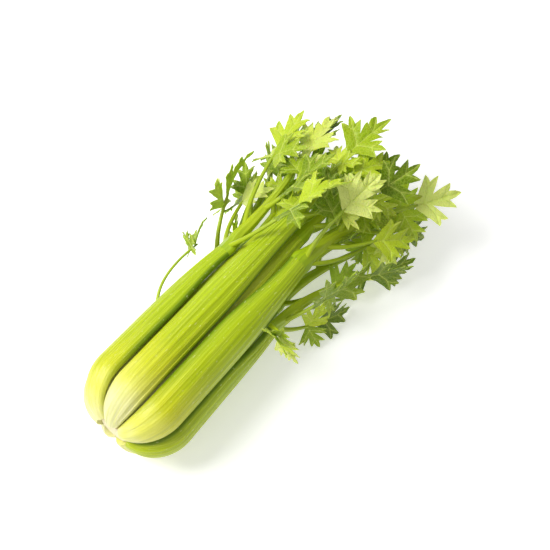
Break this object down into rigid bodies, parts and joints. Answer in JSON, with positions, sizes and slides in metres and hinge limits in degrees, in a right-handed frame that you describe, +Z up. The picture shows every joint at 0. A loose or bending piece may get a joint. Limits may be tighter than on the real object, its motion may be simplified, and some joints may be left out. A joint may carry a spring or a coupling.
{
  "type": "head of celery",
  "caption": "Head of celery lying on its side: ribbed stalks packed in rings round a cut root, with toothed leaves on stems at the top.",
  "frame": {"origin": "middle of the underside of the bounding box, on the surface that the head lies on", "axes": "+X along the head from the cut root to the leaves, +Y towards its left side seen from the root, +Z up"},
  "size_m": [0.3448, 0.1856, 0.1455],
  "materials": {
    "root_cream": "matte, moist cut",
    "stalk_green": "satin, waxy skin",
    "heart_green": "satin, waxy skin",
    "leaf_green": "satin leaf"
  },
  "bodies": {
    "root": {"root_plate": "root_cream", "stalk_outer_a": "stalk_green", "stalk_outer_b": "stalk_green", "stalk_outer_c": "stalk_green", "stalk_outer_d": "stalk_green", "stalk_outer_e": "stalk_green", "stalk_outer_f": "stalk_green", "stalk_outer_g": "stalk_green", "stalk_middle_a": "heart_green", "stalk_middle_b": "heart_green", "stalk_middle_c": "heart_green", "stalk_middle_d": "heart_green", "stalk_middle_e": "heart_green", "stalk_middle_f": "heart_green", "stalk_heart_a": "heart_green", "stalk_heart_b": "heart_green", "stalk_heart_c": "heart_green", "stalk_heart_d": "heart_green", "leaf_outer_a": "leaf_green", "leaf_outer_b": "leaf_green", "leaf_outer_c": "leaf_green", "leaf_outer_d": "leaf_green", "leaf_outer_e": "leaf_green", "leaf_outer_f": "leaf_green", "leaf_outer_g": "leaf_green", "leaf_middle_a": "leaf_green", "leaf_middle_b": "leaf_green", "leaf_middle_c": "leaf_green", "leaf_middle_d": "leaf_green", "leaf_middle_e": "leaf_green", "leaf_middle_f": "leaf_green", "leaf_heart_a": "leaf_green", "leaf_heart_b": "leaf_green", "leaf_heart_c": "leaf_green", "leaf_heart_d": "leaf_green", "shoot_a": "leaf_green", "shoot_d": "leaf_green"}
  },
  "joints": []
}
